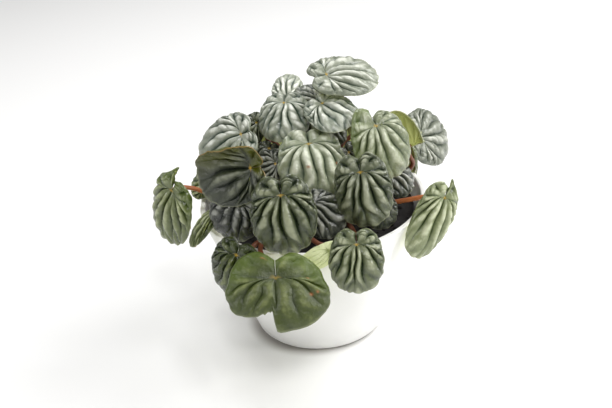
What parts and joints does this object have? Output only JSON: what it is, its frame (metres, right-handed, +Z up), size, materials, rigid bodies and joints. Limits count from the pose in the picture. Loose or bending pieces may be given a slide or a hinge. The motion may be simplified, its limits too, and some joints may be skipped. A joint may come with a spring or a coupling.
{
  "type": "ripple peperomia in a pot",
  "caption": "Potted ripple peperomia: a mound of round, deeply ridged silver-green leaves on red stalks, rising from dark soil in a plain white tapered pot.",
  "frame": {"origin": "centre of the flat foot of the pot, where it stands", "axes": "+Z up along the pot's axis; the pictured front looks towards -Y; +X to the viewer's right"},
  "size_m": [0.195, 0.1871, 0.1631],
  "materials": {
    "pot": "satin",
    "soil": "matte",
    "stalk": "satin",
    "leaf_silver": "satin",
    "leaf_green": "satin",
    "leaf_dark": "satin"
  },
  "bodies": {
    "root": {"pot": "pot", "soil": "soil", "leaf_stalks": "stalk", "leaf_01": "leaf_silver", "leaf_02": "leaf_silver", "leaf_03": "leaf_dark", "leaf_04": "leaf_silver", "leaf_05": "leaf_silver", "leaf_06": "leaf_silver", "leaf_07": "leaf_silver", "leaf_08": "leaf_green", "leaf_09": "leaf_silver", "leaf_10": "leaf_silver", "leaf_11": "leaf_dark", "leaf_12": "leaf_green", "leaf_13": "leaf_green", "leaf_14": "leaf_green", "leaf_15": "leaf_green", "leaf_16": "leaf_green", "leaf_17": "leaf_green", "leaf_18": "leaf_green", "leaf_19": "leaf_dark", "leaf_20": "leaf_dark", "leaf_21": "leaf_dark", "leaf_22": "leaf_dark", "leaf_23": "leaf_dark", "leaf_24": "leaf_green", "leaf_25": "leaf_dark", "leaf_26": "leaf_green", "leaf_27": "leaf_dark", "leaf_28": "leaf_green", "leaf_29": "leaf_green", "leaf_30": "leaf_green", "leaf_31": "leaf_green", "leaf_32": "leaf_green", "leaf_33": "leaf_green", "leaf_34": "leaf_green", "leaf_35": "leaf_green", "leaf_36": "leaf_green", "leaf_37": "leaf_green", "leaf_38": "leaf_green", "leaf_39": "leaf_dark", "leaf_40": "leaf_dark", "leaf_41": "leaf_dark", "leaf_42": "leaf_dark", "leaf_43": "leaf_dark", "leaf_44": "leaf_dark", "leaf_45": "leaf_dark", "leaf_46": "leaf_green"}
  },
  "joints": []
}
